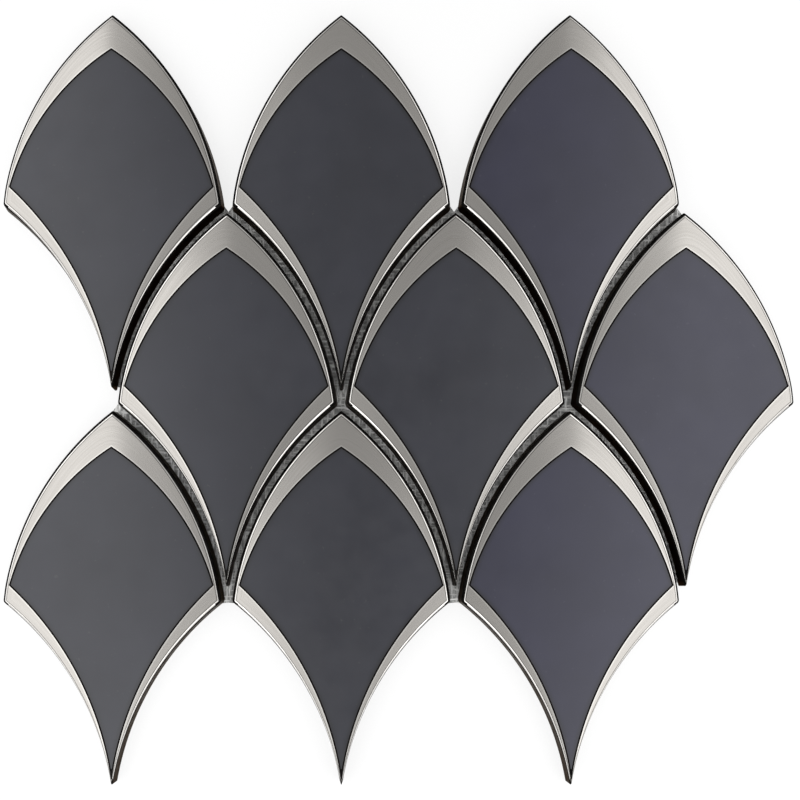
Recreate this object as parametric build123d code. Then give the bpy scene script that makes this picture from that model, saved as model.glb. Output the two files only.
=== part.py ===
from build123d import *
from math import cos, radians, sin, sqrt
import os

os.makedirs("parts", exist_ok=True)

# Sheet layout: three staggered rows of chips on a triangular grid, +Y towards the pointed tops
row_names = ["top", "middle", "bottom"]
column_names = ["left", "centre", "right"]
pitch = 85.0  # chip to chip along a row
row_pitch = pitch * sqrt(3) / 2  # row to row
joint = 2.4  # open joint between neighbouring chips

# Chip outline: four arcs, bulging above the shoulders and hollow below them
edge_radius = 108.0  # arc along the middle of a joint, from one grid point to the next
apex_round = 1.2  # plan rounding of the pointed top
shoulder_round = 2.2  # plan rounding of the two side corners
tip_round = 1.0  # plan rounding of the drawn-out lower tip
tip_reach = 2.0  # how far the rim's tip runs on past the crossing of the joints' edges

# Flat dark face on top of the chip, with crisp corners
face_drop = 13.6  # chip top to face top
face_half_width = 37.9
face_corner_drop = 65.0  # chip top to the face's side corners
face_upper_radius = 90.0
face_lower_radius = 122.0
face_tip_gap = 2.0  # face tip to rim tip, before rounding
face_round = 0.2  # plan rounding of the face's corners

# Heights and edges
backing_thickness = 0.8
chip_thickness = 8.0
bevel_fall = 1.1  # drop of the bevel from the face to the rim
side_draft = 0.7  # how far the sides lean in from the base to the rim
apex_lean = 0.3  # how far the pointed top leans in for each mm that the sides do
tip_lean = 8.0  # how far the tip's edges shorten for each mm that the sides lean in
apex_setback = 1.5  # how far the pointed top draws back over the rim for each mm that the sides do
tip_setback = 1.1  # how far the tip draws back over the rim for each mm that the sides do
rim_radius = 1.3  # rounding between the chip's side and its bevel
rim_turn = 75.0  # degrees that the rounding turns before the bevel takes over
rim_steps = 3

# Backing sheet: runs under all the chips and bridges every joint between two of them
backing_inset = 0.4  # how far the sheet's edge stays back under the chips
bridge_lap = 1.2  # how far a bridge reaches under the chips beside it
bridge_stop = 1.5  # how far the outermost bridges end above the tip beside them

# Centres of the arcs on a chip's left side, from the grid point at the chip's top
arc_reach = sqrt(edge_radius**2 - (pitch / 2) ** 2)
upper_centre = Vector(arc_reach * row_pitch / pitch - pitch / 4, -row_pitch / 2 - arc_reach / 2)
lower_centre = Vector(-pitch / 2 - upper_centre.X, upper_centre.Y - row_pitch)


# Face between two bulging and two hollow arcs, with each corner rounded
def rounded_scale(apex, shoulder, tip, upper_radius, lower_radius, rounds):
    far_shoulder = (-shoulder[0], shoulder[1])
    arcs = [
        RadiusArc(apex, shoulder, -upper_radius),
        RadiusArc(shoulder, tip, lower_radius),
        RadiusArc(tip, far_shoulder, lower_radius),
        RadiusArc(far_shoulder, apex, -upper_radius),
    ]
    scale = Face(Wire([arc.edge() for arc in arcs]))
    for corner, radius in zip([apex, shoulder, far_shoulder, tip], rounds):
        vertex = scale.vertices().sort_by_distance((*corner, 0))[0]
        scale = scale.fillet_2d(radius, [vertex])
    return scale


# Top, left shoulder and tip where the outline's arcs meet, with its two radii
def chip_corners(inset):
    base_upper = edge_radius - joint / 2
    base_lower = edge_radius + joint / 2
    upper_radius = base_upper - inset
    lower_radius = base_lower + inset
    lean = min(inset, side_draft)
    base_apex = upper_centre.Y + sqrt(base_upper**2 - upper_centre.X**2)
    rim_tip = lower_centre.Y + sqrt(base_lower**2 - lower_centre.X**2) - tip_reach
    apex = (0, base_apex - apex_lean * lean - apex_setback * (inset - lean))
    tip = (0, rim_tip - tip_lean * (side_draft - lean) + tip_setback * (inset - lean))
    across = lower_centre - upper_centre
    along = (upper_radius**2 - lower_radius**2 + across.length**2) / (2 * across.length)
    aside = sqrt(upper_radius**2 - along**2)
    way = across.normalized()
    shoulder = upper_centre + way * along + Vector(way.Y, -way.X) * aside
    return apex, (shoulder.X, shoulder.Y), tip, upper_radius, lower_radius


def chip_outline(inset=0.0):
    sizes = [apex_round, shoulder_round, shoulder_round, tip_round]
    rounds = [max(size - inset, face_round) for size in sizes]
    return rounded_scale(*chip_corners(inset), rounds)


def face_outline():
    chip_apex = chip_corners(0)[0]
    rim_tip = chip_corners(side_draft)[2]
    apex = (0, chip_apex[1] - face_drop)
    corner = (-face_half_width, chip_apex[1] - face_corner_drop)
    tip = (0, rim_tip[1] + face_tip_gap)
    return rounded_scale(apex, corner, tip, face_upper_radius, face_lower_radius, [face_round] * 4)


# One solid piece of glass: leaning sides, a rounded rim, a bevel and a flat face
def make_chip():
    rim_base = chip_thickness - bevel_fall - rim_radius * sin(radians(rim_turn))
    sections = [chip_outline()]
    for step in range(rim_steps + 1):
        turn = radians(rim_turn * step / rim_steps)
        height = rim_base + rim_radius * sin(turn)
        inset = side_draft + rim_radius * (1 - cos(turn))
        sections.append(Pos(Z=height) * chip_outline(inset))
    sections.append(Pos(Z=chip_thickness) * face_outline())
    return loft(sections, ruled=True)


# Strip of the backing along the joint above a chip's upper left edge, down to its lower end
def joint_bridge(lower_end):
    half_width = joint / 2 + bridge_lap
    inner_radius = edge_radius - half_width
    outer_radius = edge_radius + half_width
    rays = [(end - upper_centre).normalized() for end in (Vector(0, 0), lower_end)]
    inner = [upper_centre + ray * inner_radius for ray in rays]
    outer = [upper_centre + ray * outer_radius for ray in rays]
    sides = [
        RadiusArc(outer[0], outer[1], -outer_radius),
        Line(outer[1], inner[1]),
        RadiusArc(inner[1], inner[0], inner_radius),
        Line(inner[0], outer[0]),
    ]
    return Face(Wire([side.edge() for side in sides]))


# Woven backing as a plain thin sheet, with a bridge wherever a chip has another above it
def make_backing(places):
    full_bridge = joint_bridge(Vector(-pitch / 2, -row_pitch))
    short_bridge = joint_bridge(Vector(-pitch / 2, row_pitch + outline_box.min.Y + bridge_stop))
    grid = [place.position for place in places]
    pieces = [place * chip_outline(backing_inset) for place in places]
    for place in places:
        for side in (-1, 1):
            above = place.position + Vector(side * pitch / 2, row_pitch)
            beside = place.position + Vector(side * pitch, 0)
            if not any((point - above).length < joint for point in grid):
                continue
            flanked = any((point - beside).length < joint for point in grid)
            bridge = full_bridge if flanked else short_bridge
            if side > 0:
                bridge = -mirror(bridge, Plane.YZ).face()
            pieces.append(place * bridge)
    return extrude(Sketch() + pieces, backing_thickness)


# Grid points of the chips' tops, with the sheet's middle at the origin
outline_box = chip_outline().bounding_box()
sheet_top = row_pitch - (outline_box.max.Y + outline_box.min.Y) / 2
places = {}
for row, row_name in enumerate(row_names):
    stagger = pitch / 4 if row % 2 else -pitch / 4
    for column, column_name in enumerate(column_names):
        place = Pos((column - 1) * pitch + stagger, sheet_top - row * row_pitch)
        places[f"chip_{row_name}_{column_name}"] = place

chip = make_chip()
for name, place in places.items():
    export_step(place * Pos(Z=backing_thickness) * chip, f"parts/{name}.step")
export_step(make_backing(list(places.values())), "parts/mesh_backing.step")
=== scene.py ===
import math

import bmesh
import bpy
from mathutils import Matrix, Vector
from mathutils.bvhtree import BVHTree


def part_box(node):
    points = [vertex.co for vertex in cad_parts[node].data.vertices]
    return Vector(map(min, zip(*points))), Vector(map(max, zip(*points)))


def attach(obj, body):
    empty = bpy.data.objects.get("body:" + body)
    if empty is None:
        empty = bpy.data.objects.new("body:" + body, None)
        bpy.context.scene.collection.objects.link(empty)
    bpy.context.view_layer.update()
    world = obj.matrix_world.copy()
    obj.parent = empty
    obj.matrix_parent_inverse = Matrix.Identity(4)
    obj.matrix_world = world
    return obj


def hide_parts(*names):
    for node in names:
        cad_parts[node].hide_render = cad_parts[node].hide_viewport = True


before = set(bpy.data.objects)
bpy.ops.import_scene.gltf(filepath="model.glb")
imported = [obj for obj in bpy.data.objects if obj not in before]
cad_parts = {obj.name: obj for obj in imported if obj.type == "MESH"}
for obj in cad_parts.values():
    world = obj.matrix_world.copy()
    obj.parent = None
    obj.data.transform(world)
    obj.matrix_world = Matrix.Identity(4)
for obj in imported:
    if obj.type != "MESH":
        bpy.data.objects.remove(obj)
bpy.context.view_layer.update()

mm = 0.001
tiny = 0.001  # millimetres, for merging and for lengths that mustn't be nothing
scene = bpy.context.scene
scene.view_settings.view_transform = "Standard"
print("frame loaded:", len(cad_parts), "nodes")


# node helpers: a socket is linked, anything else is a plain value
def fill(tree, socket, value):
    if isinstance(value, bpy.types.NodeSocket):
        tree.links.new(value, socket)
    else:
        socket.default_value = value


def put(tree, kind, inputs=None, **settings):
    node = tree.nodes.new(kind)
    for name, value in settings.items():
        setattr(node, name, value)
    for key, value in (inputs or {}).items():
        fill(tree, node.inputs[key], value)
    return node


def calc(tree, operation, first, second=0.0):
    return put(tree, "ShaderNodeMath", {0: first, 1: second}, operation=operation).outputs[0]


def remap(tree, value, source, target=(0.0, 1.0), smooth=False):
    kind = "SMOOTHSTEP" if smooth else "LINEAR"
    ends = {
        "Value": value,
        "From Min": source[0],
        "From Max": source[1],
        "To Min": target[0],
        "To Max": target[1],
    }
    return put(tree, "ShaderNodeMapRange", ends, interpolation_type=kind).outputs["Result"]


def blendColour(tree, share, low, high, mode="MIX"):
    node = put(tree, "ShaderNodeMix", data_type="RGBA", blend_type=mode)
    for key, value in (("Factor_Float", share), ("A_Color", low), ("B_Color", high)):
        fill(tree, next(s for s in node.inputs if s.identifier == key), value)
    return next(s for s in node.outputs if s.identifier == "Result_Color")


def noise(tree, place, scale, detail, grain):
    ends = {"Vector": place, "Scale": scale, "Detail": detail, "Roughness": grain}
    return put(tree, "ShaderNodeTexNoise", ends).outputs["Fac"]


def bumped(tree, height, strength, depth):
    ends = {"Strength": strength, "Distance": depth * mm, "Height": height}
    return put(tree, "ShaderNodeBump", ends).outputs["Normal"]


def objectPlace(tree):
    return put(tree, "ShaderNodeTexCoord").outputs["Object"]


def newMaterial(name):
    material = bpy.data.materials.new(name)
    material.use_nodes = True
    material.node_tree.nodes.clear()
    return material, material.node_tree


def finishMaterial(tree, inputs):
    shader = put(tree, "ShaderNodeBsdfPrincipled", inputs)
    put(tree, "ShaderNodeOutputMaterial", {"Surface": shader.outputs["BSDF"]})


def newGroup(name, inputs, outputs):
    group = bpy.data.node_groups.new(name, "ShaderNodeTree")
    for label, kind in inputs:
        group.interface.new_socket(label, in_out="INPUT", socket_type="NodeSocket" + kind)
    for label, kind in outputs:
        group.interface.new_socket(label, in_out="OUTPUT", socket_type="NodeSocket" + kind)
    return group, group.nodes.new("NodeGroupInput").outputs, group.nodes.new("NodeGroupOutput").inputs


# a finished piece stands for one CAD node
def addPiece(name, mesh, materials, node):
    for material in materials:
        mesh.materials.append(material)
    piece = bpy.data.objects.new(name, mesh)
    scene.collection.objects.link(piece)
    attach(piece, "root")
    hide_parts(node)
    return piece


# chip sizes in millimetres and degrees, with the finer edges that the solids leave out
chipSet = {
    "pitch": 85.0,  # chip to chip along a row
    "joint": 2.4,
    "edgeRadius": 108.0,  # arc along the middle of a joint
    "apexRound": 1.2,
    "shoulderRound": 2.2,
    "tipRound": 0.65,
    "tipReach": 2.0,
    "sideDraft": 0.7,  # lean of the sides
    "apexLean": 0.3,
    "tipLean": 4.45,
    "apexSetback": 1.5,
    "tipSetback": 1.1,
    "faceDrop": 13.6,  # chip top to face top
    "faceHalfWidth": 37.9,
    "faceCornerDrop": 65.0,
    "faceUpperRadius": 90.0,
    "faceLowerRadius": 122.0,
    "faceTipGap": 2.0,
    "faceRound": 0.2,
    "faceLine": 0.62,  # near-black line round the face, painted shade at its edge
    "faceSink": 0.04,  # step down from the plating to the satin face
    "rimRadius": 1.7,
    "rimTurn": 75.0,
    "rimSteps": 12,
    "upperDark": 10,  # rim steps in the near-black matt finish on the bulging edges, painted dark reflection
    "lowerDark": 7,  # and on the hollow edges
    "tipDark": 3.5,  # all near-black this close to the tip
    "bevelFall": 1.1,
    "bevelSlope": 0.13,
    "bevelCrown": 0.03,
    "bevelCuts": 5,
    "apexSweep": 3.0,  # rounding of the bevel's crease under the apex
    "apexBlend": 6.0,  # and of its shading
    "arcSteps": 56,
    "cornerSteps": 6,
    "columnCast": {"left": 0.0, "centre": 0.0, "right": 1.0},  # share of the violet cast
}
finishes = {"slate": 0, "bevel": 1, "side": 2, "rim": 3, "edge": 4}  # material slots of a chip


def onAxis(centre, radius):
    return Vector((0, centre.y + math.sqrt(radius**2 - centre.x**2)))


# where two circles cross, on the outer side of a chip's left half
def circlesMeet(first, firstRadius, second, secondRadius):
    across = second - first
    along = (firstRadius**2 - secondRadius**2 + across.length_squared) / (2 * across.length)
    aside = math.sqrt(firstRadius**2 - along**2)
    way = across.normalized()
    return first + way * along + Vector((way.y, -way.x)) * aside


def arcCentre(start, end, radius, side):
    half = (end - start) / 2
    aside = Vector((-half.y, half.x)).normalized() * side
    return start + half + aside * math.sqrt(radius**2 - half.length_squared)


# arcs and corners of a chip's left half, from the grid point at its top
pitch = chipSet["pitch"]
rowPitch = pitch * math.sqrt(3) / 2
arcReach = math.sqrt(chipSet["edgeRadius"] ** 2 - (pitch / 2) ** 2)
upperCentre = Vector((arcReach * rowPitch / pitch - pitch / 4, -rowPitch / 2 - arcReach / 2))
lowerCentre = Vector((-pitch / 2 - upperCentre.x, upperCentre.y - rowPitch))
baseUpper = chipSet["edgeRadius"] - chipSet["joint"] / 2
baseLower = chipSet["edgeRadius"] + chipSet["joint"] / 2
sharpApex = onAxis(upperCentre, baseUpper)
shoulder = circlesMeet(upperCentre, chipSet["edgeRadius"], lowerCentre, chipSet["edgeRadius"])
rimTip = onAxis(lowerCentre, baseLower) - Vector((0, chipSet["tipReach"]))
rimTop = chipSet["sideDraft"] + chipSet["rimRadius"] * (1 - math.cos(math.radians(chipSet["rimTurn"])))
faceApex = sharpApex - Vector((0, chipSet["faceDrop"]))
faceCorner = Vector((-chipSet["faceHalfWidth"], sharpApex.y - chipSet["faceCornerDrop"]))
faceTip = rimTip + Vector((0, chipSet["faceTipGap"]))
faceUpper = arcCentre(faceApex, faceCorner, chipSet["faceUpperRadius"], 1)
faceLower = arcCentre(faceCorner, faceTip, chipSet["faceLowerRadius"], -1)
sweepEnd = faceApex.y - chipSet["faceDrop"]


# arcs of the outline, drawn in first by the lean of the sides and then by the rim
def outlineArcs(inset):
    lean = min(inset, chipSet["sideDraft"])
    turned = inset - lean
    upperRadius = baseUpper - inset
    lowerRadius = baseLower + inset
    corner = circlesMeet(upperCentre, upperRadius, lowerCentre, lowerRadius)
    apexFall = chipSet["apexLean"] * lean + chipSet["apexSetback"] * turned
    tipFall = chipSet["tipLean"] * (chipSet["sideDraft"] - lean) - chipSet["tipSetback"] * turned
    upper = arcCentre(sharpApex - Vector((0, apexFall)), corner, upperRadius, 1)
    lower = arcCentre(corner, rimTip - Vector((0, tipFall)), lowerRadius, -1)
    return upper, upperRadius, lower, lowerRadius


def faceArcs(inset=0.0):
    return faceUpper, chipSet["faceUpperRadius"] - inset, faceLower, chipSet["faceLowerRadius"] + inset


# left half of a pointed scale by spinning one vertex from arc to arc, then its mirror
def scaleLoop(bm, upper, upperRadius, lower, lowerRadius, rounds, height):
    apexRound, shoulderRound, tipRound = rounds
    apexMid = onAxis(upper, upperRadius - apexRound)
    tipMid = onAxis(lower, lowerRadius + tipRound)
    shoulderMid = circlesMeet(upper, upperRadius - shoulderRound, lower, lowerRadius + shoulderRound)
    steps, few = chipSet["arcSteps"], chipSet["cornerSteps"]
    bends = [
        (apexMid, upper + (apexMid - upper).normalized() * upperRadius, few),
        (upper, upper + (shoulderMid - upper).normalized() * upperRadius, steps),
        (shoulderMid, lower + (shoulderMid - lower).normalized() * lowerRadius, few),
        (lower, lower + (tipMid - lower).normalized() * lowerRadius, steps),
        (tipMid, tipMid - Vector((0, tipRound)), few),
    ]
    old = set(bm.edges)
    vert = bm.verts.new((apexMid.x * mm, (apexMid.y + apexRound) * mm, height * mm))
    for centre, end, count in bends:
        here = Vector((vert.co.x, vert.co.y)) / mm
        angle = (end - centre).angle_signed(here - centre)
        middle = (centre.x * mm, centre.y * mm, height * mm)
        made = bmesh.ops.spin(bm, geom=[vert], cent=middle, axis=(0, 0, 1), angle=angle, steps=count)
        vert = made["geom_last"][0]
    half = [e for e in bm.edges if e not in old]
    verts = list({v for e in half for v in e.verts})
    bmesh.ops.mirror(bm, geom=verts + half, matrix=Matrix.Identity(4), merge_dist=tiny * mm, axis="X")
    return [e for e in bm.edges if e not in old]


def outlineLoop(bm, inset, height):
    sizes = (chipSet["apexRound"], chipSet["shoulderRound"], chipSet["tipRound"])
    rounds = [max(size - inset, chipSet["faceRound"]) for size in sizes]
    return scaleLoop(bm, *outlineArcs(inset), rounds, height)


# how far a place on the left half lies out from the dark face, past its upper and its lower edge
def faceGaps(x, y):
    place = Vector((-x, y))
    above = (place - faceUpper).length - chipSet["faceUpperRadius"]
    below = chipSet["faceLowerRadius"] - (place - faceLower).length
    return above, below


def faceGap(x, y):
    return max(*faceGaps(x, y), 0)


def bridge(bm, first, second):
    return bmesh.ops.bridge_loops(bm, edges=first + second)["faces"]


# rounded rim, a loop for each step, which rises where the bevel is narrow
def rimLoops(bm, thickness):
    rimBase = thickness - chipSet["bevelFall"]
    rimBase -= chipSet["rimRadius"] * math.sin(math.radians(chipSet["rimTurn"]))
    rims = []
    for step in range(chipSet["rimSteps"] + 1):
        turn = math.radians(chipSet["rimTurn"] * step / chipSet["rimSteps"])
        rise = chipSet["rimRadius"] * math.sin(turn)
        inset = chipSet["sideDraft"] + chipSet["rimRadius"] * (1 - math.cos(turn))
        loop = outlineLoop(bm, inset, rimBase + rise)
        for vert in {v for e in loop for v in e.verts}:
            width = faceGap(abs(vert.co.x) / mm, vert.co.y / mm) - rimTop + inset
            vert.co.z += (chipSet["bevelFall"] - chipSet["bevelSlope"] * max(width, 0)) * mm
        rims.append(loop)
    return rims


# the lower rim steps, and all steps near the very tip, take the near-black matt finish as painted dark
# reflection
def bridgeRim(bm, rims):
    plated, paintedDarkSteps = [], []
    for step in range(chipSet["rimSteps"]):
        for face in bridge(bm, rims[step], rims[step + 1]):
            y = face.calc_center_median().y / mm
            low = step < chipSet["upperDark" if y > shoulder.y else "lowerDark"]
            atTip = y < rimTip.y + chipSet["tipDark"]
            (paintedDarkSteps if low or atTip else plated).append(face)
    return plated, paintedDarkSteps


# bevel under the apex, swept round where its two sides meet, with a slight crown
def sweepApex(verts, thickness):
    rimCentre, rimRadius = outlineArcs(rimTop)[:2]
    for vert in verts:
        x, y = abs(vert.co.x) / mm, vert.co.y / mm
        out = faceGap(x, y)
        rimGap = rimRadius - (Vector((-x, y)) - rimCentre).length
        if y > sweepEnd and rimGap > 0:
            middle = 4 * out * rimGap / (out + rimGap) ** 2  # 1 half way across the bevel
            fade = min((y - sweepEnd) / chipSet["faceDrop"], 1)
            swept = faceGap(math.hypot(x, chipSet["apexSweep"] * middle * fade), y)
            vert.co.z = (thickness - chipSet["bevelSlope"] * swept + chipSet["bevelCrown"] * middle) * mm


def shapeChip(bm, thickness):
    rounds = [chipSet["faceRound"]] * 3
    bottom = outlineLoop(bm, 0, 0)
    rims = rimLoops(bm, thickness)
    top = scaleLoop(bm, *faceArcs(), rounds, thickness)
    # painted shade: a near-black strip round the face
    inner = scaleLoop(bm, *faceArcs(chipSet["faceLine"]), rounds, thickness - chipSet["faceSink"])
    slate = bmesh.ops.contextual_create(bm, geom=inner)["faces"]
    faceEdge = bridge(bm, top, inner)
    side = bmesh.ops.contextual_create(bm, geom=bottom)["faces"] + bridge(bm, bottom, rims[0])
    plated, paintedDarkSteps = bridgeRim(bm, rims)
    bevel = bridge(bm, rims[-1], top)
    rungs = list({e for f in bevel for e in f.edges} - set(rims[-1]) - set(top))
    cut = bmesh.ops.subdivide_edges(bm, edges=rungs, cuts=chipSet["bevelCuts"], use_grid_fill=True)
    sweepApex({v for v in cut["geom_inner"] if isinstance(v, bmesh.types.BMVert)}, thickness)
    for face in bm.faces:
        face.smooth = True
        face.material_index = finishes["bevel"]
    # the edge finish is painted shade round the face and painted dark reflection on the rim
    for name, faces in (("slate", slate), ("side", side), ("rim", plated), ("edge", faceEdge + paintedDarkSteps)):
        for face in faces:
            face.material_index = finishes[name]
    for face in slate:
        face.smooth = False
    for edge in top + bottom:
        edge.smooth = False
    bmesh.ops.recalc_face_normals(bm, faces=bm.faces)


# which way the bevel faces at a place, blended across the crease under the apex
def bevelNormal(x, y, upper):
    fade = min(max((y - sweepEnd) / chipSet["faceDrop"], 0), 1)
    soft = max(math.hypot(x, chipSet["apexBlend"] * fade), tiny)
    place = Vector((-soft, y))
    out = (place - faceUpper if upper else faceLower - place).normalized() * chipSet["bevelSlope"]
    return Vector((-out.x * x / soft, out.y, 1)).normalized()


def setBevelNormals(mesh):
    flatPlan = mesh.uv_layers["chipPlan"].data
    normals = [Vector()] * len(mesh.loops)  # an empty normal stays as it is
    for polygon in mesh.polygons:
        if polygon.material_index == finishes["bevel"]:
            spots = [flatPlan[i].uv / mm for i in polygon.loop_indices]
            middle = sum(spots, Vector((0, 0))) / len(spots)
            above, below = faceGaps(abs(middle.x), middle.y)
            for i, spot in zip(polygon.loop_indices, spots):
                normals[i] = bevelNormal(spot.x, spot.y, above > below)
    mesh.normals_split_custom_set(normals)


# one chip, set where its solid is, with its plan kept as a UV map
def makeChip(node, materials):
    low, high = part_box(node)
    bm = bmesh.new()
    plan = bm.loops.layers.uv.new("chipPlan")
    glassCast = bm.verts.layers.float.new("glassCast")
    shapeChip(bm, (high.z - low.z) / mm)
    for face in bm.faces:
        for loop in face.loops:
            loop[plan].uv = loop.vert.co.xy
    tallest = max(v.co.y for v in bm.verts)
    bmesh.ops.translate(bm, verts=bm.verts, vec=((low.x + high.x) / 2, high.y - tallest, low.z))
    column = node.split("_")[-1]
    for vert in bm.verts:
        vert.co.y = max(vert.co.y, low.y)
        vert[glassCast] = chipSet["columnCast"][column]
    name = node.replace("chip", "glass_chip")
    mesh = bpy.data.meshes.new(name)
    bm.to_mesh(mesh)
    bm.free()
    piece = addPiece(name, mesh, materials, node)
    setBevelNormals(mesh)
    return piece


# group: how far a point lies in from the nearest edge of a scale, in metres, rounded over the apex
def makeEdgeGap():
    wanted = [
        ("Plan", "Vector"), ("Rounding", "Float"),
        ("Upper Centre", "Vector"), ("Upper Radius", "Float"),
        ("Lower Centre", "Vector"), ("Lower Radius", "Float"),
    ]
    group, given, out = newGroup("edgeGap", wanted, [("Gap", "Float")])
    split = put(group, "ShaderNodeSeparateXYZ", {0: given["Plan"]}).outputs
    squared = calc(group, "MULTIPLY", split["X"], split["X"])
    rounding = calc(group, "MULTIPLY", given["Rounding"], given["Rounding"])
    aside = calc(group, "SQRT", calc(group, "ADD", squared, rounding))
    left = calc(group, "MULTIPLY", aside, -1.0)
    folded = put(group, "ShaderNodeCombineXYZ", {"X": left, "Y": split["Y"]}).outputs[0]
    reach = {}
    for side in ("Upper", "Lower"):
        ends = {0: folded, 1: given[side + " Centre"]}
        reach[side] = put(group, "ShaderNodeVectorMath", ends, operation="DISTANCE").outputs["Value"]
    upperGap = calc(group, "SUBTRACT", given["Upper Radius"], reach["Upper"])
    lowerGap = calc(group, "SUBTRACT", reach["Lower"], given["Lower Radius"])
    fill(group, out["Gap"], calc(group, "MINIMUM", upperGap, lowerGap))
    return group


# group: cloudy tone between two colours, and the cloud itself
def makeMottle():
    wanted = [
        ("Place", "Vector"), ("Scale", "Float"), ("Detail", "Float"), ("Grain", "Float"),
        ("Low", "Float"), ("High", "Float"), ("Dark", "Color"), ("Light", "Color"),
    ]
    group, given, out = newGroup("mottle", wanted, [("Colour", "Color"), ("Cloud", "Float")])
    cloud = noise(group, given["Place"], given["Scale"], given["Detail"], given["Grain"])
    share = remap(group, cloud, (given["Low"], given["High"]))
    fill(group, out["Colour"], blendColour(group, share, given["Dark"], given["Light"]))
    fill(group, out["Cloud"], cloud)
    return group


grainNoise = (1.0, 3.0, 0.6)  # scale, detail and grain


# group: fine grain drawn out by its own scale each way
def makeDrawnGrain():
    wanted = [("Place", "Vector"), ("Scales", "Vector")]
    group, given, out = newGroup("drawnGrain", wanted, [("Grain", "Float")])
    ends = {0: given["Place"], 1: given["Scales"]}
    drawn = put(group, "ShaderNodeVectorMath", ends, operation="MULTIPLY").outputs["Vector"]
    fill(group, out["Grain"], noise(group, drawn, *grainNoise))
    return group


edgeGap = makeEdgeGap()
mottle = makeMottle()
drawnGrain = makeDrawnGrain()
cloudSpan = (0.3, 0.7)  # where nearly all of a noise lies
sharp = 0.05  # rounding of a gap that keeps its corners, in millimetres


def placeGap(tree, upper, upperRadius, lower, lowerRadius, rounding):
    ends = {
        "Plan": put(tree, "ShaderNodeUVMap", uv_map="chipPlan").outputs["UV"],
        "Rounding": rounding * mm,
        "Upper Centre": (upper.x * mm, upper.y * mm, 0),
        "Upper Radius": upperRadius * mm,
        "Lower Centre": (lower.x * mm, lower.y * mm, 0),
        "Lower Radius": lowerRadius * mm,
    }
    return put(tree, "ShaderNodeGroup", ends, node_tree=edgeGap).outputs["Gap"]


def placeMottle(tree, look):
    ends = {
        "Place": objectPlace(tree),
        "Scale": look["scale"],
        "Detail": look["detail"],
        "Grain": look["grain"],
        "Low": look["spread"][0],
        "High": look["spread"][1],
        "Dark": look["dark"],
        "Light": look["light"],
    }
    made = put(tree, "ShaderNodeGroup", ends, node_tree=mottle).outputs
    return made["Colour"], made["Cloud"]


def placeGrain(tree, place, scales):
    ends = {"Place": place, "Scales": scales}
    return put(tree, "ShaderNodeGroup", ends, node_tree=drawnGrain).outputs["Grain"]


# dark satin face, with painted shade along its edges
slateSet = {
    "dark": (0.0134, 0.0142, 0.0215, 1),
    "light": (0.0180, 0.0191, 0.0283, 1),
    "scale": 28.0,
    "detail": 4.0,
    "grain": 0.55,
    "spread": (0.35, 0.65),
    "speck": (0.030, 0.031, 0.036, 1),
    "speckNoise": (620.0, 1.0, 0.5),  # scale, detail and grain
    "speckSpread": (0.74, 0.80),
    "violet": (0.98, 0.92, 1.36, 1),
    "edgeWidth": 2.6,
    "edgeShade": 0.28,
    "satinNoise": (90.0, 5.0, 0.6),
    "satin": (0.30, 0.42),
    "ior": 1.62,
}


def makeSlate():
    material, tree = newMaterial("slateGlassFace")
    place = objectPlace(tree)
    colour, _ = placeMottle(tree, slateSet)
    fleck = remap(tree, noise(tree, place, *slateSet["speckNoise"]), slateSet["speckSpread"])
    colour = blendColour(tree, fleck, colour, slateSet["speck"])
    cast = put(tree, "ShaderNodeAttribute", attribute_name="glassCast").outputs["Fac"]
    colour = blendColour(tree, cast, colour, slateSet["violet"], "MULTIPLY")
    gap = placeGap(tree, *faceArcs(), sharp)
    # painted shade: the face darkens towards its edges
    shade = remap(tree, gap, (0.0, slateSet["edgeWidth"] * mm), (slateSet["edgeShade"], 1.0), True)
    colour = blendColour(tree, 1.0, colour, shade, "MULTIPLY")
    satin = remap(tree, noise(tree, place, *slateSet["satinNoise"]), cloudSpan, slateSet["satin"])
    finishMaterial(tree, {"Base Color": colour, "Roughness": satin, "IOR": slateSet["ior"]})
    return material


# brushed plating, with a painted highlight line beside the face and painted shade in the crease beside
# the rim
plateSet = {
    "dull": (0.416, 0.398, 0.374, 1),
    "bright": (0.476, 0.457, 0.432, 1),
    "paintedGlint": (0.64, 0.62, 0.59, 1),
    "paintedGlintReach": (0.55, 0.15),  # millimetres out from the face
    "paintedCreaseShade": (0.12, 0.115, 0.108, 1),
    "paintedCreaseReach": (0.12, 0.36),  # millimetres in from the rim
    "streakWidth": 0.55,
    "streakLength": 22.0,
    "streakDrift": 0.4,
    "streakRounding": 6.0,  # how the brushing turns under the apex
    "rough": (0.29, 0.21),
    "bump": (0.06, 0.02),  # strength, and depth in millimetres
}


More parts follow.
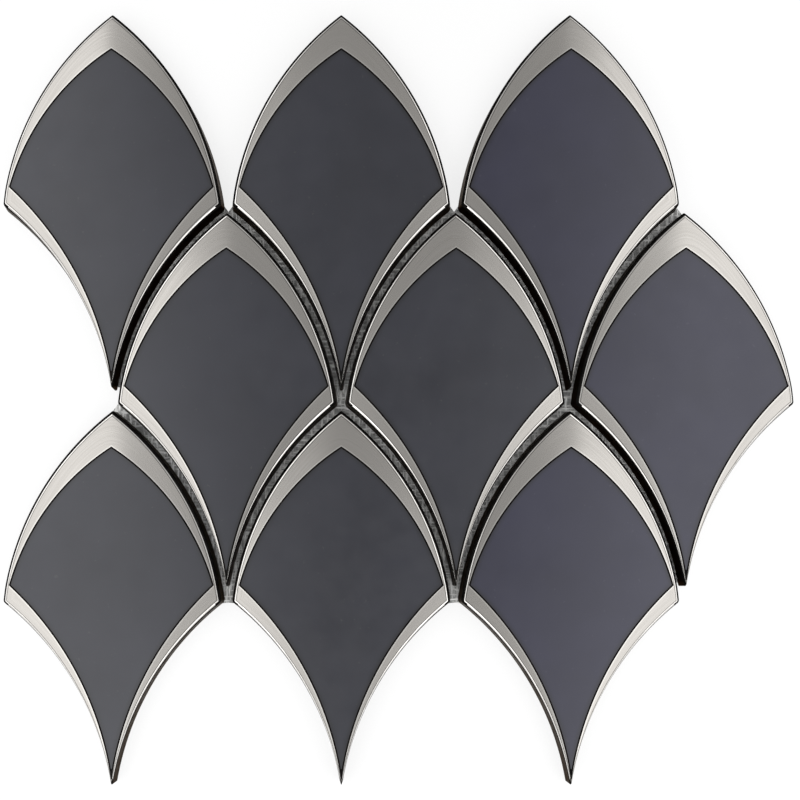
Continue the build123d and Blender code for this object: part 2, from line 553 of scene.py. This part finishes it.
def makePlate():
    material, tree = newMaterial("brushedPlateBevel")
    split = put(tree, "ShaderNodeSeparateXYZ", {0: objectPlace(tree)}).outputs
    sweep = placeGap(tree, *outlineArcs(rimTop), plateSet["streakRounding"])
    place = put(tree, "ShaderNodeCombineXYZ", {"X": sweep, "Y": split["Y"], "Z": split["X"]}).outputs[0]
    run = 1 / (plateSet["streakLength"] * mm)
    scales = (1 / (plateSet["streakWidth"] * mm), run, run * plateSet["streakDrift"])
    streak = placeGrain(tree, place, scales)
    colour = blendColour(tree, remap(tree, streak, cloudSpan), plateSet["dull"], plateSet["bright"])
    # painted highlight: a bright line on the plating along the face's edge
    fromFace = placeGap(tree, *faceArcs(), sharp)
    paintedGlint = remap(tree, fromFace, [-reach * mm for reach in plateSet["paintedGlintReach"]], smooth=True)
    colour = blendColour(tree, paintedGlint, colour, plateSet["paintedGlint"])
    # painted shade: the plating darkens in the crease beside the rim
    fromRim = placeGap(tree, *outlineArcs(rimTop), sharp)
    paintedCreaseShade = remap(tree, fromRim, [reach * mm for reach in plateSet["paintedCreaseReach"]], (1.0, 0.0), True)
    colour = blendColour(tree, paintedCreaseShade, colour, plateSet["paintedCreaseShade"])
    rough = remap(tree, streak, cloudSpan, plateSet["rough"])
    normal = bumped(tree, streak, *plateSet["bump"])
    finishMaterial(tree, {"Base Color": colour, "Roughness": rough, "Metallic": 1.0, "Normal": normal})
    return material


# polished plating on the rim
rimSet = {
    "dark": (0.64, 0.62, 0.595, 1),
    "light": (0.80, 0.78, 0.75, 1),
    "scale": 160.0,
    "detail": 3.0,
    "grain": 0.5,
    "spread": (0.35, 0.65),
    "rough": (0.22, 0.12),
}


def makeRim():
    material, tree = newMaterial("polishedRim")
    colour, wear = placeMottle(tree, rimSet)
    rough = remap(tree, wear, cloudSpan, rimSet["rough"])
    finishMaterial(tree, {"Base Color": colour, "Roughness": rough, "Metallic": 1.0})
    return material


# dark sides with a faint brown sheen
sideSet = {
    "dark": (0.010, 0.0086, 0.0076, 1),
    "light": (0.046, 0.040, 0.035, 1),
    "scale": 240.0,
    "detail": 4.0,
    "grain": 0.6,
    "spread": (0.3, 0.7),
    "rough": (0.25, 0.45),
    "edgeTint": (0.40, 0.37, 0.34, 1),
}


def makeSide():
    material, tree = newMaterial("darkGlassSide")
    colour, ground = placeMottle(tree, sideSet)
    rough = remap(tree, ground, cloudSpan, sideSet["rough"])
    sheen = {"Metallic": 1.0, "Specular Tint": sideSet["edgeTint"]}
    finishMaterial(tree, {"Base Color": colour, "Roughness": rough, **sheen})
    return material


# near-black matt finish, too rough to shine: painted shade round the face and painted dark reflection on
# the rim
edgeSet = {
    "dark": (0.004, 0.0037, 0.0035, 1),
    "light": (0.010, 0.0092, 0.0085, 1),
    "scale": 300.0,
    "detail": 3.0,
    "grain": 0.5,
    "spread": (0.35, 0.65),
    "rough": (0.75, 0.9),
}


def makeEdge():
    material, tree = newMaterial("mattDarkEdge")
    colour, ground = placeMottle(tree, edgeSet)
    rough = remap(tree, ground, cloudSpan, edgeSet["rough"])
    finishMaterial(tree, {"Base Color": colour, "Roughness": rough, "Specular IOR Level": 0.0})
    return material


chipMaterials = [makeSlate(), makePlate(), makeSide(), makeRim(), makeEdge()]
print("glass and plate finishes:", len(chipMaterials))
chipNodes = [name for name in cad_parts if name.startswith("chip_")]
chips = [makeChip(name, chipMaterials) for name in chipNodes]
print("chips:", len(chips))


# coated weave under the chips, in millimetres
weaveSet = {
    "yarnPitch": 4.0,
    "yarnWidth": 1.3,
    "yarnThick": 0.22,
    "yarnWave": 0.14,
    "yarnMiddle": 0.25,
    "yarnDark": (0.34, 0.34, 0.33, 1),
    "yarnLight": (0.62, 0.62, 0.60, 1),
    "yarnScales": (9.0, 55.0, 0.0),  # over a yarn's own UV map
    "yarnSpread": (0.35, 0.65),
    "yarnRough": 0.7,
    "yarnBump": (0.6, 0.06),
    "coatBottom": 0.38,
    "coatDark": (0.24, 0.24, 0.235, 1),
    "coatLight": (0.95, 0.95, 0.93, 1),
    "coatScales": (150.0, 1000.0, 0.0),  # along and across a fibre
    "coatSpread": (0.47, 0.66),
    "coatRough": 0.8,
    "coatBump": (0.8, 0.15),
    "sharpAngle": 50.0,
}


def finishWeave(material, tree, fibre, part):
    share = remap(tree, fibre, weaveSet[part + "Spread"])
    colour = blendColour(tree, share, weaveSet[part + "Dark"], weaveSet[part + "Light"])
    normal = bumped(tree, fibre, *weaveSet[part + "Bump"])
    finishMaterial(tree, {"Base Color": colour, "Roughness": weaveSet[part + "Rough"], "Normal": normal})
    return material


def makeCoat():
    material, tree = newMaterial("greyBackingCoat")
    split = put(tree, "ShaderNodeSeparateXYZ", {0: objectPlace(tree)}).outputs
    fibres = []
    for along, across in (("X", "Y"), ("Y", "X")):
        place = put(tree, "ShaderNodeCombineXYZ", {"X": split[along], "Y": split[across]}).outputs[0]
        fibres.append(placeGrain(tree, place, weaveSet["coatScales"]))
    return finishWeave(material, tree, calc(tree, "MAXIMUM", *fibres), "coat")


def makeYarn():
    material, tree = newMaterial("greyMeshYarn")
    run = put(tree, "ShaderNodeUVMap", uv_map="yarnRun").outputs["UV"]
    return finishWeave(material, tree, placeGrain(tree, run, weaveSet["yarnScales"]), "yarn")


# flat yarns both ways, each over and under the next
def addYarns(bm, low, high):
    gap = weaveSet["yarnPitch"] * mm
    counts = [int((high[a] - low[a]) / gap) for a in (0, 1)]
    starts = [(low[a] + high[a] - counts[a] * gap) / 2 for a in (0, 1)]
    for axis in (0, 1):
        other = 1 - axis
        length = counts[other] * gap
        turn = Matrix.Rotation(math.pi / 2 if axis else 0.0, 4, "Z")
        sizes = Matrix.Diagonal((weaveSet["yarnWidth"] * mm / 2, length / 2, 1, 1))
        for index in range(counts[axis] + 1):
            middle = Vector((0, 0, weaveSet["yarnMiddle"] * mm))
            middle[axis] = starts[axis] + index * gap
            middle[other] = starts[other] + length / 2
            made = bmesh.ops.create_grid(
                bm, x_segments=1, y_segments=counts[other] * 2, size=1,
                matrix=Matrix.Translation(middle) @ turn @ sizes, calc_uvs=True)
            sign = (-1) ** (index + axis)
            for vert in made["verts"]:
                phase = math.pi * (vert.co[other] - starts[other]) / gap
                vert.co.z += sign * weaveSet["yarnWave"] * mm * math.cos(phase)


# yarns end where the sheet does
def trimYarns(bm, film, low):
    sheet = BVHTree.FromBMesh(film)
    up = Vector((0, 0, 1))
    start = low.z - weaveSet["yarnPitch"] * mm
    outside = {v for v in bm.verts if sheet.ray_cast(Vector((v.co.x, v.co.y, start)), up)[0] is None}
    gone = [f for f in bm.faces if any(v in outside for v in f.verts)]
    bmesh.ops.delete(bm, geom=gone, context="FACES")
    loose = [v for v in bm.verts if not v.link_faces]
    bmesh.ops.delete(bm, geom=loose, context="VERTS")


# yarns below, and a coat on them that is the solid's upper part
def makeBacking(node, materials):
    low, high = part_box(node)
    film = bmesh.new()
    film.from_mesh(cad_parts[node].data)
    bmesh.ops.remove_doubles(film, verts=film.verts, dist=tiny * mm)
    bm = bmesh.new()
    bm.loops.layers.uv.new("yarnRun")
    addYarns(bm, low, high)
    trimYarns(bm, film, low)
    bmesh.ops.solidify(bm, geom=bm.faces[:], thickness=weaveSet["yarnThick"] * mm)
    lowest = min(v.co.z for v in bm.verts)
    bmesh.ops.translate(bm, verts=bm.verts, vec=(0, 0, -lowest))
    bmesh.ops.recalc_face_normals(bm, faces=bm.faces)
    for face in bm.faces:
        face.material_index = 1  # the yarn, after the coat
        face.smooth = True
    middle = (low.z + high.z) / 2
    for vert in film.verts:
        if vert.co.z < middle:
            vert.co.z = weaveSet["coatBottom"] * mm
    name = "woven_backing"
    mesh = bpy.data.meshes.new(name)
    film.to_mesh(mesh)
    bm.from_mesh(mesh)  # both in one mesh
    bm.to_mesh(mesh)
    bm.free()
    film.free()
    mesh.set_sharp_from_angle(angle=math.radians(weaveSet["sharpAngle"]))
    return addPiece(name, mesh, materials, node)


backing = makeBacking("mesh_backing", [makeCoat(), makeYarn()])
print("backing triangles:", sum(len(p.vertices) - 2 for p in backing.data.polygons))


# pale floor under the sheet, in metres
floorSet = {
    "radius": 15.0,
    "sides": 96,
    "dark": (0.955, 0.955, 0.955, 1),
    "light": (0.97, 0.97, 0.97, 1),
    "scale": 3.0,
    "detail": 2.0,
    "grain": 0.5,
    "spread": (0.0, 1.0),
    "glow": 0.78,  # share of plain white, so that the shadow stays faint
}


def makeFloor():
    material, tree = newMaterial("paleFloor")
    matt = put(tree, "ShaderNodeBsdfDiffuse", {"Color": placeMottle(tree, floorSet)[0]})
    white = put(tree, "ShaderNodeEmission", {"Color": (1, 1, 1, 1), "Strength": 1.0})
    ray = put(tree, "ShaderNodeLightPath").outputs
    mirrored = calc(tree, "MAXIMUM", ray["Is Glossy Ray"], ray["Is Transmission Ray"])
    seen = calc(tree, "MAXIMUM", ray["Is Camera Ray"], mirrored)
    share = calc(tree, "MULTIPLY", seen, floorSet["glow"])
    mixed = put(tree, "ShaderNodeMixShader", {0: share, 1: matt.outputs[0], 2: white.outputs[0]})
    put(tree, "ShaderNodeOutputMaterial", {"Surface": mixed.outputs[0]})
    bm = bmesh.new()
    bmesh.ops.create_circle(bm, cap_ends=True, segments=floorSet["sides"], radius=floorSet["radius"])
    mesh = bpy.data.meshes.new("floor")
    bm.to_mesh(mesh)
    bm.free()
    mesh.materials.append(material)
    floor = bpy.data.objects.new("floor", mesh)
    scene.collection.objects.link(floor)


# soft light in metres: a tent, flat panels above the left and right, and a slanted one in front
lightSet = {
    "tent": [(0.0, 1.0), (0.35, 0.45), (0.85, 0.52), (1.0, 0.50)],  # radiance from the horizon up
    "sideLength": 0.9,
    "sideBack": -0.05,
    "sideTurn": 9.0,
    "sideOuter": 0.608,
    "sideLayers": {  # height, inner edge and radiance, in two layers for a soft inner edge
        "Near": (0.2, 0.115, 0.85),
        "Wide": (0.22, 0.055, 0.28),
    },
    "frontRadiance": 0.8,
    "frontSize": (1.5, 0.55),
    "frontPlace": (0, -0.62, 0.56),
}


def makeTent():
    world = bpy.data.worlds.new("lightTent")
    scene.world = world
    world.use_nodes = True
    tree = world.node_tree
    tree.nodes.clear()
    way = put(tree, "ShaderNodeTexCoord").outputs["Generated"]
    rise = put(tree, "ShaderNodeSeparateXYZ", {0: way}).outputs["Z"]
    ramp = put(tree, "ShaderNodeValToRGB", {0: rise})
    stops = ramp.color_ramp.elements
    while len(stops) < len(lightSet["tent"]):
        stops.new(0.5)  # moved to its place below
    for stop, (at, radiance) in zip(stops, lightSet["tent"]):
        stop.position = at
        stop.color = (radiance, radiance, radiance, 1)
    sky = put(tree, "ShaderNodeBackground", {"Color": ramp.outputs[0], "Strength": 1.0})
    white = put(tree, "ShaderNodeBackground", {"Color": (1, 1, 1, 1), "Strength": 1.0})
    seen = put(tree, "ShaderNodeLightPath").outputs["Is Camera Ray"]
    mixed = put(tree, "ShaderNodeMixShader", {0: seen, 1: sky.outputs[0], 2: white.outputs[0]})
    put(tree, "ShaderNodeOutputWorld", {"Surface": mixed.outputs[0]})


def addPanel(name, radiance, size, place, turn):
    light = bpy.data.lights.new(name + "Panel", "AREA")
    light.shape = "RECTANGLE"
    light.size, light.size_y = size
    light.energy = math.pi * radiance * size[0] * size[1]
    panel = bpy.data.objects.new(name + "Panel", light)
    panel.location = place
    panel.rotation_euler = turn
    panel.visible_camera = False
    scene.collection.objects.link(panel)


def makePanels():
    outer, turn = lightSet["sideOuter"], math.radians(lightSet["sideTurn"])
    for label, (height, inner, radiance) in lightSet["sideLayers"].items():
        size = (outer - inner, lightSet["sideLength"])
        for name, side in (("left", -1), ("right", 1)):
            place = (side * (inner + outer) / 2, lightSet["sideBack"], height)
            addPanel(name + label, radiance, size, place, (0, 0, -side * turn))
    facing = Vector(lightSet["frontPlace"]).to_track_quat("Z", "Y").to_euler()
    addPanel("front", lightSet["frontRadiance"], lightSet["frontSize"], lightSet["frontPlace"], facing)


# camera looking straight down, in millimetres, its foot left of and below the frame's middle
cameraSet = {
    "height": 420.0,
    "rimHeight": 7.0,
    "frameWidth": 296.96,  # at the height of the rims
    "frameCentre": (0.55, -0.03),
    "shift": (0.07, 0.12),
    "sensor": 36.0,
    "clip": (0.01, 50.0),  # metres
}


def makeCamera():
    data = bpy.data.cameras.new("camera")
    data.sensor_width = cameraSet["sensor"]
    away = cameraSet["height"] - cameraSet["rimHeight"]
    data.lens = cameraSet["sensor"] * away / cameraSet["frameWidth"]
    data.shift_x, data.shift_y = cameraSet["shift"]
    data.clip_start, data.clip_end = cameraSet["clip"]
    camera = bpy.data.objects.new("camera", data)
    foot = [c - s * cameraSet["frameWidth"] for c, s in zip(cameraSet["frameCentre"], cameraSet["shift"])]
    camera.location = (foot[0] * mm, foot[1] * mm, cameraSet["height"] * mm)
    scene.collection.objects.link(camera)
    scene.camera = camera


makeFloor()
makeTent()
makePanels()
makeCamera()
print("floor, light and camera ready")
